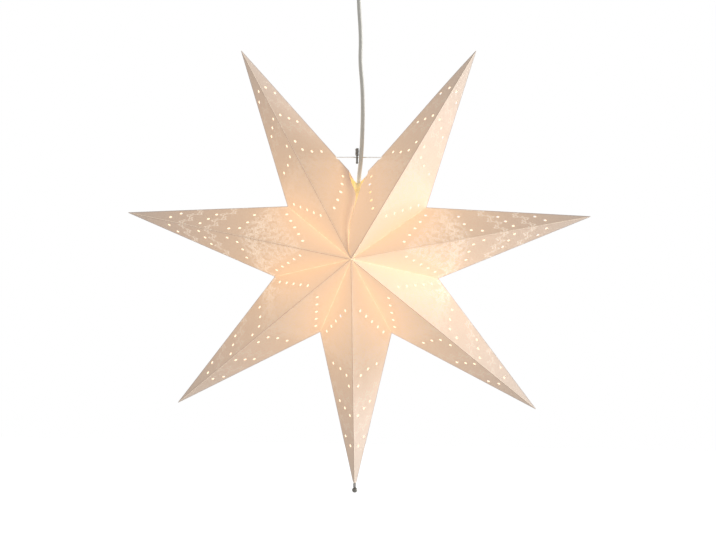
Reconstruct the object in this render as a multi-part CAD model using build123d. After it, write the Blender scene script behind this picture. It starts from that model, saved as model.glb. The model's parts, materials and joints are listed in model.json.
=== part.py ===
# Hanging seven-pointed folded card star with a lamp holder, bulb, flex and ceiling fitting.
# Millimetres and degrees. Origin: centre of the ceiling face. +Z is up and the star faces -Y.
# Everything hangs below the origin. Points are numbered clockwise from the upper right, seen from
# the front; side "a" of a point is its anticlockwise side and side "b" its clockwise side.

from build123d import *
import math
import os

# ---------------------------------------------------------------- star
point_count = 7
tip_radius = 350.0           # star centre to a tip
valley_radius = 126.0        # star centre to an inner corner
half_depth = 105.0           # mid-plane to the front or the back apex
seam_opening = 9.6           # open angle between the first and the last point
star_drop = 486.0            # ceiling to the star's centre
card = 0.35                  # thickness of the card

folded_pitch = 4.0           # angle from one point to the next, folded flat
fold_spare = 0.8             # angle by which two bevelled creases stay clear of each other
crease_gap = 0.06            # half the gap along a ridge or a valley
rim_gap = 0.22               # setback along the outer edge, where front and back panels meet
back_ridge_gap = 1.8         # the open ridge at the back apex, tapering to the tip
apex_trim = 1.6              # radius cut from each corner at an apex
tip_trim = 1.2               # radius cut from each corner at a tip
low_tip_trim = 11.0          # the same at the lowest tip, where the sleeve sits

# punched holes of one panel: distance from the apex along the ridge, distance from the ridge
hole_diameter = 3.6
hole_line = [(83.5 + 12.2 * step, 17.5 + 12.6 * step) for step in range(5)]
hole_corner = [(178.0, 52.0), (180.0, 33.0), (185.0, 17.0), (200.0, 11.2)]
hole_short_line = [(233.0 + 7.0 * step, 36.0 - 13.2 * step) for step in range(3)]
hole_pair = [(285.6, 22.0), (296.7, 9.6)]

# ---------------------------------------------------------------- hanger at the open seam
hanger_height = 146.0        # star centre to the hanger wire
wire_diameter = 1.6
wire_end = 7.0               # length of wire inside each point
wire_end_fall = 9.0          # downward slope of each end, so that the opening creases slide off
notch_diameter = 4.8         # hole at the crease for the wire
wire_seat_gap = 0.4          # top of that hole to the wire that it hangs on
coil_diameter = 6.0
coil_wire = 1.2
coil_turns = 5
coil_pitch = 2.0
coil_rise = 2.5              # wire to the lowest turn of the coil
pin_gap = 0.1                # radial gap between the coil and the pin that it is wound on
pin_proud = 1.0              # pin above the coil's last turn
bead_diameter = 3.6
bead_drop = 8.0              # wire to the bead below the coil

# ---------------------------------------------------------------- lowest tip
ball_diameter = 8.0
ball_overhang = 1.0          # tip of the lowest point to the ball's centre
sleeve_diameter = 4.8
sleeve_length = 7.2
sleeve_shoulder = 0.6
stem_diameter = 1.6
stem_gap = 0.05              # radial gap between the ball's stem and the sleeve

# ---------------------------------------------------------------- flex
cord_diameter = 6.0
core_diameter = 2.2
lamp_offset = 2.5            # the holder hangs this far to the right of the star's centre
gland_top = 108.0            # star centre to the top of the holder
# free route, as (x, height above the star's centre), below the pivot and above the gland
cord_bends = [(0.0, 380.0), (4.6, 322.0), (3.3, 287.0), (7.0, 252.0), (8.1, 214.0), (7.2, 172.0),
              (5.4, 137.0), (2.8, 118.0)]
cord_in_gland = 8.0          # length of cord inside the gland
cord_bore_gap = 0.25         # radial gap between the cord and what it passes through above
core_spread = 1.2            # distance between the two cores where the sheath ends, in core diameters
core_straight = 5.0          # straight length of a core at each end
core_bend = 4.0              # radius of a core's bends
core_gap = 0.2               # sheath to the start of the cores

# ---------------------------------------------------------------- lamp holder
gland_diameter = 12.8
gland_height = 11.0
gland_edge = 1.0
gland_bore_gap = 0.15        # radial gap between the cord and the gland
cap_height = 17.0
cap_top_diameter = 15.0
cap_shoulder_drop = 9.35     # top of the cap to where it reaches its full width
cap_round = 1.5
cap_round_rise = 2.5
holder_diameter = 28.0
holder_height = 46.0
holder_wall = 1.6
holder_chamfer = 0.8
carrier_height = 4.0
carrier_depth = 14.0         # top of the holder body to the top of the contact carrier
carrier_gap = 0.05
shell_length = 25.0
shell_wall = 0.5
shell_flange = 1.0
screw_clearance = 0.2        # radial gap between bulb base and thread shell
contact_width = 4.0
contact_strip = 0.5          # thickness of the sprung centre contact
contact_reach = 4.2
contact_button = 4.0
terminal_diameter = 4.0
terminal_height = 4.5
terminal_spacing = 12.0

# ---------------------------------------------------------------- bulb
base_diameter = 13.9
base_length = 18.0
base_wall = 0.4
base_shoulder = 1.0
insulator_height = 2.8
foot_diameter = 8.6
foot_height = 1.5
foot_chamfer = 1.0
foot_clearance = 3.0         # contact carrier to the bulb's foot
contact_gap = 0.3            # sprung contact to the bulb's foot
globe_diameter = 45.0
bulb_length = 78.0
glass_wall = 1.0
neck_gap = 0.3               # radial gap between the glass neck and the base
neck_in_base = 4.0
stem_glass_diameter = 5.0
stem_flare_length = 3.0
stem_flare_land = 1.0
seal_gap = 0.05              # flared stem to the neck of the glass
filament_count = 4
filament_diameter = 1.7
filament_length = 28.0
filament_circle = 15.0
spoke_diameter = 0.8

# ---------------------------------------------------------------- ceiling fitting
canopy_diameter = 96.0
canopy_floor_diameter = 84.0
canopy_height = 56.0
canopy_wall = 2.2
canopy_round = 6.0
side_screw_drop = 12.0
side_screw_diameter = 3.3
side_screw_head = 7.6
side_screw_head_height = 2.4
side_screw_length = 9.0
side_screw_slot = 0.9
side_hole_gap = 0.55         # radial gap between a side screw and the canopy
side_thread_gap = 0.05       # radial gap between a side screw and the bracket's ear
head_gap = 0.05              # screw head to the canopy
strap_width = 22.0
strap_thickness = 1.6
ear_drop = 18.0
fit_gap = 0.3
ceiling_hole_spacing = 60.0
ceiling_hole_diameter = 4.5
grip_diameter = 18.0
grip_height = 6.0
grip_stem_diameter = 10.0
grip_stem_height = 9.0
grip_stem_gap = 0.1          # radial gap between the grip's stem and the canopy
lock_nut_width = 14.0
lock_nut_height = 4.0
lock_nut_gap = 0.05
nut_diameter = 16.8
nut_height = 13.2
nut_taper_rise = 3.0
nut_taper = 2.0
pivot_height = 3.2           # open end of the grip nut to the centre of the ball seat
ball_seat_diameter = 12.6
seat_gap = 0.1
relief_neck = 8.8
relief_end = 7.4
relief_length = 24.0
relief_flare = 1.0           # the bore widens upwards by this, so that the sleeve can swing about the cord
block_length = 20.0
block_width = 15.0
block_height = 14.0
block_pole_spacing = 9.0
block_hole_gap = 0.15        # radial gap between a core and its hole
block_hole_depth = 9.33
block_screw_diameter = 3.6
block_screw_gap = 0.1
block_screw_proud = 0.6
block_screw_drop = 8.4       # top of the block to a screw's axis
tail_top_drop = 34.0         # ceiling to the end of the cord's sheath

# ---------------------------------------------------------------- sizes worked out from these
star_z = -star_drop
pitch = (360.0 - seam_opening) / point_count
cord_radius = cord_diameter / 2
grip_bottom = -canopy_height - grip_height
nut_bottom = grip_bottom - nut_height
pivot_z = nut_bottom + pivot_height

ridge_length = math.hypot(tip_radius, half_depth)
valley_length = math.hypot(valley_radius, half_depth)
half_pitch = math.radians(pitch / 2)
corner_along = (tip_radius * valley_radius * math.cos(half_pitch) + half_depth ** 2) / ridge_length
corner_across = math.sqrt(valley_length ** 2 - corner_along ** 2)
rim_length = math.hypot(ridge_length - corner_along, corner_across)


def folded_creases():
    """Angles left between two panels at a ridge and at a valley when the star is folded flat.

    The three crease lengths stay as they are. With the folded pitch they give a quadratic for the
    square of the inner corners' folded radius.
    """
    half_turn = math.radians(folded_pitch / 2)
    difference = ridge_length ** 2 - valley_length ** 2
    excess = difference - rim_length ** 2
    first = 4 * math.sin(half_turn) ** 2
    second = 4 * (excess - difference * math.cos(half_turn) ** 2)
    root = math.sqrt(second ** 2 - 4 * first * excess ** 2)
    corner_radius = math.sqrt((-second - root) / (2 * first))
    far_radius = math.sqrt(difference + corner_radius ** 2)
    depth = math.sqrt(ridge_length ** 2 - far_radius ** 2)

    top = Vector(0, -depth, 0)
    far = Vector(0, 0, far_radius)
    near = Vector(corner_radius * math.sin(half_turn), 0, corner_radius * math.cos(half_turn))
    normal = (far - top).cross(near - top).normalized()
    ridge_side = Vector(1, 0, 0)
    valley_side = Vector(math.cos(half_turn), 0, -math.sin(half_turn))
    ridge = 2 * math.degrees(math.asin(abs(normal.cross(ridge_side).length)))
    valley = 2 * math.degrees(math.asin(abs(normal.cross(valley_side).length)))
    return ridge, valley


fold_ridge_angle, fold_valley_angle = folded_creases()


def on_mid_plane(radius, steps):
    """A point of the star's mid-plane, a number of pitches clockwise from the right seam edge."""
    angle = math.radians(90 - seam_opening / 2 - pitch * steps)
    return Vector(radius * math.cos(angle), 0, star_z + radius * math.sin(angle))


def tip(point):
    return on_mid_plane(tip_radius, point - 0.5)


def inner_corner(point, side):
    return on_mid_plane(valley_radius, point - 1 if side == "a" else point)


def apex(face):
    return Vector(0, -half_depth if face == "front" else half_depth, star_z)


# ---------------------------------------------------------------- small helpers
def turned(profile_points, x=0.0, z=0.0):
    """A solid of revolution about the upright axis through x, from (radius, height) points."""
    outline = Polyline(*[(radius, 0, height) for radius, height in profile_points], close=True)
    solid = revolve(make_face(outline), Axis.Z)
    return Pos(x, 0, z) * solid


def rod(diameter, start, end):
    start, end = Vector(start), Vector(end)
    run = end - start
    base = Plane(origin=start, z_dir=run)
    return extrude(base * Circle(diameter / 2), run.length)


def bent_rod(diameter, points, radii):
    path = FilletPolyline(*points, radius=radii) if radii else Polyline(*points)
    section = Plane(origin=path @ 0, z_dir=path % 0) * Circle(diameter / 2)
    return sweep(section, path=path)


def write(name, shape):
    shape.label = name
    export_step(shape, f"parts/{name}.step")


# ---------------------------------------------------------------- card panels
def half_space(start, end, across, lift, slope):
    """Cutting plane through the line start-end, leaning by slope towards the given side of the card.

    across points from the line into the panel; lift is +1 to shave the outside and -1 the inside.
    """
    lean = math.radians(slope)
    normal = Vector(*across, 0) * math.sin(lean) - Vector(0, 0, lift) * math.cos(lean)
    return Plane(origin=(*start, 0), x_dir=Vector(end[0] - start[0], end[1] - start[1], 0), z_dir=normal)


def unit(x, y):
    length = math.hypot(x, y)
    return x / length, y / length


def flat_panel(face, low):
    """One punched panel lying in XY: apex at the origin, ridge along +X, inner corner at +Y."""
    ridge_start = (0.0, back_ridge_gap if face == "back" else crease_gap)
    ridge_end = (ridge_length, crease_gap)
    corner = (corner_along, corner_across)
    along_valley = unit(*corner)
    along_rim = unit(ridge_length - corner_along, -corner_across)
    from_valley = (along_valley[1], -along_valley[0])
    from_rim = (along_rim[1], -along_rim[0])
    along_ridge = unit(ridge_end[0] - ridge_start[0], ridge_end[1] - ridge_start[1])
    from_ridge = (-along_ridge[1], along_ridge[0])
    valley_start = (from_valley[0] * crease_gap, from_valley[1] * crease_gap)
    rim_start = (corner[0] + from_rim[0] * rim_gap, corner[1] + from_rim[1] * rim_gap)

    blank = extrude(make_face(Polyline((0, 0), (ridge_length, 0), corner, close=True)), card / 2, both=True)
    for start, inward in ((ridge_start, from_ridge), (valley_start, from_valley), (rim_start, from_rim)):
        blank = split(blank, Plane(origin=(*start, 0), z_dir=(*inward, 0)), keep=Keep.TOP)
    ridge_bevel = half_space(ridge_start, ridge_end, from_ridge, -1, (fold_ridge_angle - fold_spare) / 2)
    blank = split(blank, ridge_bevel, keep=Keep.TOP)
    valley_bevel = half_space(valley_start, corner, from_valley, 1, (fold_valley_angle - fold_spare) / 2)
    blank = split(blank, valley_bevel, keep=Keep.TOP)

    tip_cut = low_tip_trim if low else tip_trim
    blank -= Cylinder(apex_trim, 2 * card)
    blank -= Pos(ridge_length, 0, 0) * Cylinder(tip_cut, 2 * card)
    for along, across in hole_line + hole_corner + hole_short_line + hole_pair:
        blank -= Pos(along, across, 0) * Cylinder(hole_diameter / 2, 2 * card)
    return blank


def panel(point, face, side, blank):
    """Stand a flat panel in its place; the other hand of panel is the mirrored one."""
    start, end = apex(face), tip(point)
    corner = inner_corner(point, side)
    ridge = (end - start).normalized()
    outward = ridge.cross(corner - start).normalized()
    mirrored = outward.Y * start.Y < 0
    if mirrored:
        outward = -outward
        blank = mirror(blank, about=Plane.XZ)
    return Plane(origin=start, x_dir=ridge, z_dir=outward).location * blank


def crease_at_wire(sign):
    """Where the hanger wire meets the outer crease beside the seam, on the right (1) or left (-1)."""
    low = inner_corner(1, "a")
    high = tip(1)
    share = (star_z + hanger_height - low.Z) / (high.Z - low.Z)
    return Vector(sign * (low.X + share * (high.X - low.X)), 0, star_z + hanger_height)


def wire_tip(sign):
    fall = math.radians(wire_end_fall)
    return crease_at_wire(sign) + Vector(sign * math.cos(fall), 0, -math.sin(fall)) * wire_end


def notch(sign):
    middle = crease_at_wire(sign) - Vector(0, 0, (notch_diameter - wire_diameter) / 2 - wire_seat_gap)
    run = (wire_tip(sign) - crease_at_wire(sign)).normalized()
    return rod(notch_diameter, middle - run * notch_diameter, middle + run * notch_diameter)


def make_star():
    lowest = (point_count + 1) // 2
    for face in ("front", "back"):
        plain = flat_panel(face, low=False)
        short = flat_panel(face, low=True)
        for point in range(1, point_count + 1):
            for side in ("a", "b"):
                piece = panel(point, face, side, short if point == lowest else plain)
                if (point, side) == (1, "a"):
                    piece -= notch(1)
                if (point, side) == (point_count, "b"):
                    piece -= notch(-1)
                write(f"point_{point}_{face}_{side}", piece)


def make_low_tip():
    ball_z = star_z - tip_radius - ball_overhang
    sleeve_low = ball_z + ball_diameter / 2
    bore = stem_diameter / 2 + stem_gap
    outer = sleeve_diameter / 2
    sleeve = turned([(bore, 0), (outer, 0), (outer, sleeve_length - sleeve_shoulder),
                     (outer - sleeve_shoulder, sleeve_length), (bore, sleeve_length)], z=sleeve_low)
    write("tip_sleeve", sleeve)
    stem = rod(stem_diameter, (0, 0, ball_z), (0, 0, sleeve_low + sleeve_length))
    write("tip_ball", Pos(0, 0, ball_z) * Sphere(ball_diameter / 2) + stem)


# ---------------------------------------------------------------- flex and hanger
def cord_points():
    bends = [(x, 0, star_z + height) for x, height in cord_bends]
    lower_end = (lamp_offset, 0, star_z + gland_top - cord_in_gland)
    return [(0, 0, pivot_z), *bends, lower_end]


def largest_radii(points):
    """For each bend, the arc that takes 0.45 of the shorter run beside it."""
    radii = []
    for before, here, after in zip(points, points[1:], points[2:]):
        first = Vector(here) - Vector(before)
        second = Vector(after) - Vector(here)
        half_turn = math.radians(first.get_angle(second)) / 2
        radii.append(0.45 * min(first.length, second.length) / math.tan(half_turn))
    return radii


def make_flex():
    points = cord_points()
    radii = largest_radii(points)
    cord = bent_rod(cord_diameter, points, radii)
    length = FilletPolyline(*points, radius=radii).length
    print("cord radii", [round(radius) for radius in radii])
    print("cord length", round(length, 1), "volume ratio",
          round(cord.volume / (length * math.pi * cord_radius ** 2), 4))
    cord += Pos(0, 0, pivot_z) * Sphere(cord_radius)
    write("flex_cord", cord)
    tail_low = pivot_z + cord_radius + fit_gap
    write("cord_tail", rod(cord_diameter, (0, 0, tail_low), (0, 0, -tail_top_drop)))


def cord_x_at(height):
    """The cord's sideways place at a height above the star's centre."""
    for (x_high, high), (x_low, low) in zip(cord_bends, cord_bends[1:]):
        if low <= height <= high:
            return x_low + (x_high - x_low) * (height - low) / (high - low)
    return lamp_offset


def make_hanger():
    z = star_z + hanger_height
    radius = wire_diameter / 2
    cord_x = cord_x_at(hanger_height)
    coil_x = cord_x - cord_radius - coil_diameter / 2
    behind = max(cord_radius, coil_diameter / 2) + radius
    slack = 2 * behind
    left_bend = coil_x - coil_diameter / 2
    right_bend = cord_x + cord_radius
    points = [wire_tip(-1), crease_at_wire(-1), (left_bend - slack, 0, z),
              (coil_x - wire_diameter, behind, z), (cord_x + wire_diameter, behind, z),
              (right_bend + slack, 0, z), crease_at_wire(1), wire_tip(1)]
    bend = 2 * wire_diameter
    points = [tuple(point) for point in points]
    write("hanger_wire", bent_rod(wire_diameter, points, [bend] * (len(points) - 2)))

    turn_radius = (coil_diameter - coil_wire) / 2
    coil_low = z + coil_rise
    helix = Helix(coil_pitch, coil_pitch * coil_turns, turn_radius)
    section = Plane(origin=helix @ 0, z_dir=helix % 0) * Circle(coil_wire / 2)
    write("hanger_coil", Pos(coil_x, 0, coil_low) * sweep(section, path=helix))

    pin_top = coil_low + coil_pitch * coil_turns + pin_proud
    bead = Pos(coil_x, 0, z - bead_drop) * Sphere(bead_diameter / 2)
    pin_width = 2 * (turn_radius - coil_wire / 2 - pin_gap)
    write("hanger_pin", rod(pin_width, (coil_x, 0, z - bead_drop), (coil_x, 0, pin_top)) + bead)


# ---------------------------------------------------------------- lamp holder
gland_low = gland_top - gland_height
body_top = gland_low - cap_height
body_low = body_top - holder_height
carrier_top = body_top - carrier_depth
carrier_low = carrier_top - carrier_height
base_radius = base_diameter / 2
foot_top = carrier_low - foot_clearance
bulb_low = foot_top - bulb_length


def at_lamp(shape):
    return Pos(lamp_offset, 0, star_z) * shape


def make_holder():
    bore = cord_radius + gland_bore_gap
    gland = gland_diameter / 2
    write("holder_gland", at_lamp(turned([
        (bore, gland_low), (gland, gland_low), (gland, gland_top - gland_edge),
        (gland - gland_edge, gland_top), (bore, gland_top)])))

    outer = holder_diameter / 2
    inner = outer - holder_wall
    top = cap_top_diameter / 2
    shoulder = gland_low - cap_shoulder_drop
    write("holder_cap", at_lamp(turned([
        (bore, gland_low), (top, gland_low), (outer - cap_round, shoulder + cap_round_rise),
        (outer, shoulder), (outer, body_top), (inner, body_top), (inner, shoulder),
        (top - holder_wall / 2, gland_low - holder_wall), (bore, gland_low - holder_wall)])))
    write("holder_body", at_lamp(turned([
        (inner, body_low), (outer - holder_chamfer, body_low), (outer, body_low + holder_chamfer),
        (outer, body_top), (inner, body_top)])))

    carrier = Pos(0, 0, (carrier_top + carrier_low) / 2) * Cylinder(inner - carrier_gap, carrier_height)
    write("contact_carrier", at_lamp(carrier))

    shell_inner = base_radius + screw_clearance
    shell_outer = shell_inner + shell_wall
    flange = shell_outer + shell_flange
    shell_low = carrier_low - shell_length
    write("thread_shell", at_lamp(turned([
        (shell_inner, shell_low), (flange, shell_low), (flange, shell_low + shell_flange),
        (shell_outer, shell_low + shell_flange), (shell_outer, carrier_low), (shell_inner, carrier_low)])))

    button_z = foot_top + contact_gap + contact_strip
    flat = Pos(-contact_reach / 2, 0, carrier_low - contact_strip / 2) * Box(
        contact_reach, contact_width, contact_strip)
    slope = rod(contact_strip, (-contact_reach, 0, carrier_low - contact_strip), (0, 0, button_z))
    button = Pos(0, 0, button_z) * Cylinder(contact_button / 2, 2 * contact_strip)
    write("centre_contact", at_lamp(flat + slope + button))

    screws = []
    for sign in (-1, 1):
        x = sign * terminal_spacing / 2
        screws.append(rod(terminal_diameter, (x, 0, carrier_top), (x, 0, carrier_top + terminal_height)))
    write("terminal_screws", at_lamp(Compound(children=screws)))


def make_bulb():
    screw_top = foot_top - foot_height - insulator_height
    screw_low = screw_top - base_length
    foot = foot_diameter / 2
    foot_low = foot_top - foot_height
    write("bulb_foot", at_lamp(turned([
        (0, foot_low), (foot, foot_low), (foot - foot_chamfer, foot_top), (0, foot_top)])))
    shoulder = base_radius - base_shoulder
    write("bulb_insulator", at_lamp(turned([
        (0, screw_top), (shoulder, screw_top), (foot, foot_low), (0, foot_low)])))
    bore = base_radius - base_wall
    write("bulb_base", at_lamp(turned([
        (bore, screw_low), (base_radius, screw_low), (base_radius, screw_top - base_shoulder),
        (shoulder, screw_top), (0, screw_top), (0, screw_top - base_wall), (bore, screw_top - base_wall)])))

    globe = globe_diameter / 2
    centre = bulb_low + globe
    neck = bore - neck_gap
    neck_top = screw_low + neck_in_base
    solid = Pos(0, 0, centre) * Sphere(globe)
    solid += Pos(0, 0, (centre + neck_top) / 2) * Cylinder(neck, neck_top - centre)
    hollow = Pos(0, 0, centre) * Sphere(globe - glass_wall)
    hollow += Pos(0, 0, (centre + neck_top) / 2) * Cylinder(neck - glass_wall, neck_top - centre)
    write("bulb_glass", at_lamp(solid - hollow))

    ring_z = centre + filament_length / 2
    spoke_z = ring_z - spoke_diameter / 2
    stem = stem_glass_diameter / 2
    flare = neck - glass_wall - seal_gap
    flare_low = neck_top - stem_flare_land - stem_flare_length
    write("bulb_stem", at_lamp(turned([
        (0, spoke_z - spoke_diameter), (stem, spoke_z - spoke_diameter), (stem, flare_low),
        (flare, neck_top - stem_flare_land), (flare, neck_top), (0, neck_top)])))

    sticks = []
    for index in range(filament_count):
        turn = Rot(0, 0, 360.0 * (index + 0.5) / filament_count)
        out = filament_circle / 2
        stick = turn * rod(filament_diameter, (out, 0, centre - filament_length / 2), (out, 0, ring_z))
        spoke = turn * rod(spoke_diameter, (stem, 0, spoke_z), (out, 0, spoke_z))
        sticks.append(stick + spoke)
    write("bulb_filament", at_lamp(Compound(children=sticks)))


# ---------------------------------------------------------------- ceiling fitting
def canopy_radius(drop):
    """Outside radius of the canopy at a distance below the ceiling."""
    return (canopy_diameter - (canopy_diameter - canopy_floor_diameter) * drop / canopy_height) / 2


def canopy_bore(drop):
    """Inside radius of the canopy at a distance below the ceiling."""
    taper = (canopy_diameter - canopy_floor_diameter) / 2 / (canopy_height - canopy_wall)
    return canopy_diameter / 2 - canopy_wall - taper * drop


def make_canopy():
    rim = canopy_diameter / 2
    floor = canopy_floor_diameter / 2
    blank = turned([(0, -canopy_height), (floor, -canopy_height), (rim, 0), (0, 0)])
    blank = fillet(blank.edges().filter_by(GeomType.CIRCLE).sort_by(Axis.Z)[0], canopy_round)
    inner_floor = canopy_wall - canopy_height
    cavity = turned([(0, inner_floor), (floor - canopy_wall, inner_floor), (rim - canopy_wall, 0), (0, 0)])
    cavity = fillet(cavity.edges().filter_by(GeomType.CIRCLE).sort_by(Axis.Z)[0], canopy_round - canopy_wall)
    cup = blank - cavity
    cup -= Pos(0, 0, -canopy_height) * Cylinder(grip_stem_diameter / 2 + grip_stem_gap, 4 * canopy_wall)
    cup -= rod(side_screw_diameter + 2 * side_hole_gap, (-rim, 0, -side_screw_drop),
               (rim, 0, -side_screw_drop))
    write("canopy_cup", cup)


def make_bracket():
    rim = canopy_diameter / 2
    ear_face = math.sqrt(canopy_bore(ear_drop) ** 2 - (strap_width / 2) ** 2) - fit_gap
    strap = Pos(0, 0, -strap_thickness / 2) * Box(2 * ear_face, strap_width, strap_thickness)
    ear = Box(strap_thickness, strap_width, ear_drop)
    ceiling_hole = Cylinder(ceiling_hole_diameter / 2, 4 * strap_thickness)
    for sign in (-1, 1):
        strap += Pos(sign * (ear_face - strap_thickness / 2), 0, -ear_drop / 2) * ear
        strap -= Pos(sign * ceiling_hole_spacing / 2, 0, 0) * ceiling_hole
    strap -= rod(side_screw_diameter + 2 * side_thread_gap, (-rim, 0, -side_screw_drop),
                 (rim, 0, -side_screw_drop))
    write("ceiling_bracket", strap)


def make_side_screws():
    head_face = canopy_radius(side_screw_drop - side_screw_head / 2) + head_gap
    head_end = head_face + side_screw_head_height
    z = -side_screw_drop
    screws = []
    for sign in (-1, 1):
        head = rod(side_screw_head, (sign * head_face, 0, z), (sign * head_end, 0, z))
        shank_end = head_face - side_screw_length
        shank = rod(side_screw_diameter, (sign * head_face, 0, z), (sign * shank_end, 0, z))
        slot = Pos(sign * head_end, 0, z) * Box(side_screw_head_height, side_screw_head, side_screw_slot)
        screws.append(head - slot + shank)
    write("side_screws", Compound(children=screws))


def make_cord_fixing():
    """The grip through the canopy's floor, its nuts and the sleeve that swings in the grip nut."""
    bore = cord_radius + cord_bore_gap
    stem = grip_stem_diameter / 2
    flange = grip_diameter / 2
    stem_top = grip_stem_height - canopy_height
    write("cord_grip", turned([
        (bore, grip_bottom), (flange, grip_bottom), (flange, -canopy_height), (stem, -canopy_height),
        (stem, stem_top), (bore, stem_top)]))
    nut = extrude(RegularPolygon(lock_nut_width / 2, 6, major_radius=False), lock_nut_height)
    nut -= Cylinder(stem + lock_nut_gap, 4 * lock_nut_height)
    write("lock_nut", Pos(0, 0, canopy_wall - canopy_height) * nut)

    seat = ball_seat_diameter / 2
    outer = nut_diameter / 2
    nut_body = turned([
        (0, grip_bottom), (outer, grip_bottom), (outer, nut_bottom + nut_taper_rise),
        (outer - nut_taper, nut_bottom), (0, nut_bottom)])
    nut_body -= Pos(0, 0, pivot_z) * Sphere(seat)
    nut_body -= rod(2 * bore, (0, 0, pivot_z), (0, 0, grip_bottom + nut_taper))
    write("grip_nut", nut_body)

    ball = seat - seat_gap
    relief = Pos(0, 0, pivot_z) * Sphere(ball)
    relief += turned([(0, 0), (relief_neck / 2, 0), (relief_end / 2, -relief_length), (0, -relief_length)],
                     z=pivot_z)
    relief -= rod(2 * bore, (0, 0, pivot_z), (0, 0, pivot_z - 2 * relief_length))
    relief -= turned([(0, 0), (bore, 0), (bore + relief_flare, ball), (0, ball)], z=pivot_z)
    write("strain_relief", relief)


def make_terminal_block():
    block_top = -strap_thickness
    block_low = block_top - block_height
    screw_z = block_top - block_screw_drop
    hole = core_diameter / 2 + block_hole_gap
    front = -block_width / 2
    block = Pos(0, 0, (block_top + block_low) / 2) * Box(block_length, block_width, block_height)
    screws = []
    cores = []
    for sign in (-1, 1):
        x = sign * block_pole_spacing / 2
        block -= rod(2 * hole, (x, 0, block_low), (x, 0, block_low + block_hole_depth))
        block -= rod(block_screw_diameter + 2 * block_screw_gap, (x, front, screw_z), (x, -hole, screw_z))
        screws.append(rod(block_screw_diameter, (x, front - block_screw_proud, screw_z),
                          (x, -hole - block_screw_gap, screw_z)))
        cores.append(make_core(sign, x, core_gap - tail_top_drop, block_low + core_straight,
                               2 * core_straight))
    write("terminal_block", block)
    write("block_screws", Compound(children=screws))
    write("tail_cores", Compound(children=cores))


def make_core(sign, far_x, sheath_z, far_z, far_straight):
    """A core from the end of the sheath to its terminal, with a straight length at either end."""
    way = math.copysign(1, far_z - sheath_z)
    near_x = sign * core_diameter * core_spread / 2
    route = [(near_x, 0, sheath_z), (near_x, 0, sheath_z + way * core_straight),
             (far_x, 0, far_z - way * far_straight), (far_x, 0, far_z)]
    return bent_rod(core_diameter, route, [core_bend, core_bend])


def make_holder_cores():
    cord_end = gland_top - cord_in_gland - core_gap
    terminal_top = carrier_top + terminal_height
    cores = [make_core(sign, sign * terminal_spacing / 2, cord_end, terminal_top, core_straight)
             for sign in (-1, 1)]
    write("holder_cores", at_lamp(Compound(children=cores)))


os.makedirs("parts", exist_ok=True)
make_star()
make_low_tip()
make_flex()
make_hanger()
make_holder()
make_holder_cores()
make_bulb()
make_canopy()
make_bracket()
make_side_screws()
make_cord_fixing()
make_terminal_block()
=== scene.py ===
# %% [markdown]
# # A folded paper star with seven points, lit from inside
#
# The real lantern is one long strip of punched card, creased to and fro, that opens like a fan into a
# star with seven hollow points. It hangs by a wire and a cord over a small lamp holder, and the bulb
# inside makes the card glow.
#
# The engineering solids come first, as a frame in metres: they say where each part is and what it hangs
# on. This lesson dresses that frame: it models the creased card anew, makes a finish for every part, and
# lights the star as in a plain studio.

import json
import math
import random

import bpy
from mathutils import Matrix, Vector


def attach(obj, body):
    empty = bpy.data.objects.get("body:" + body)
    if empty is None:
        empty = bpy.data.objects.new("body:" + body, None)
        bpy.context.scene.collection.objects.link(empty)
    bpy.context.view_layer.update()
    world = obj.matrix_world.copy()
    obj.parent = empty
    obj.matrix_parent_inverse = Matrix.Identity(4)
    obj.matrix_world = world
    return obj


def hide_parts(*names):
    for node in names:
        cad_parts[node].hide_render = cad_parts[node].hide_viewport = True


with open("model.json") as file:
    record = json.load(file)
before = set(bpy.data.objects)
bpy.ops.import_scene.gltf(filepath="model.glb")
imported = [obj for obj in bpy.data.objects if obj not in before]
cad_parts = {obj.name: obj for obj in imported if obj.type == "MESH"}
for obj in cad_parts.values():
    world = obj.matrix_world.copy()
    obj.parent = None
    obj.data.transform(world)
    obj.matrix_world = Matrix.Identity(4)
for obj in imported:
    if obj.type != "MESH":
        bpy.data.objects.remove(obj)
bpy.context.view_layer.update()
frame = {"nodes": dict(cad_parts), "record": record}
print("parts in the frame:", len(frame["nodes"]))

# %% [markdown]
# A modelling operator acts on everything that is selected, and the frame's parts arrive selected. So each
# step starts by deselecting them all. These helpers do what a hand does between two operators: pick one
# piece, open it for editing, and choose faces by their place or by the way they face.

# %% Helpers for picking and editing
mm = 0.001


def pick(*pieces):
    """Selects these pieces alone and makes the first one active, or deselects all if there are none."""
    bpy.ops.object.select_all(action="DESELECT")
    for piece in pieces:
        piece.select_set(True)
    if pieces:
        bpy.context.view_layer.objects.active = pieces[0]


def new_piece(name):
    """Names the object that a primitive operator has just made."""
    piece = bpy.context.active_object
    piece.name = name
    piece.data.name = name
    return piece


def put_in_scene(name, data):
    """Makes an object of its data and links it into the scene."""
    made = bpy.data.objects.new(name, data)
    bpy.context.scene.collection.objects.link(made)
    return made


def edit(piece, chosen=None):
    """Opens a piece for editing with all of it selected, or with the faces that the test accepts."""
    pick(piece)
    mesh = piece.data
    bpy.ops.object.mode_set(mode="EDIT")
    bpy.ops.mesh.select_mode(type="FACE")
    bpy.ops.mesh.select_all(action="SELECT" if chosen is None else "DESELECT")
    if chosen is None:
        return
    bpy.ops.object.mode_set(mode="OBJECT")
    for face in mesh.polygons:
        face.select = chosen(face.center, face.normal)
    bpy.ops.object.mode_set(mode="EDIT")


def done():
    """Closes the piece that is being edited."""
    bpy.ops.object.mode_set(mode="OBJECT")


def finish_with(piece, kind, **settings):
    """Adds a modifier and applies it."""
    pick(piece)
    modifier = piece.modifiers.new(kind.title(), kind)
    for name, value in settings.items():
        setattr(modifier, name, value)
    bpy.ops.object.modifier_apply(modifier=modifier.name)


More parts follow.
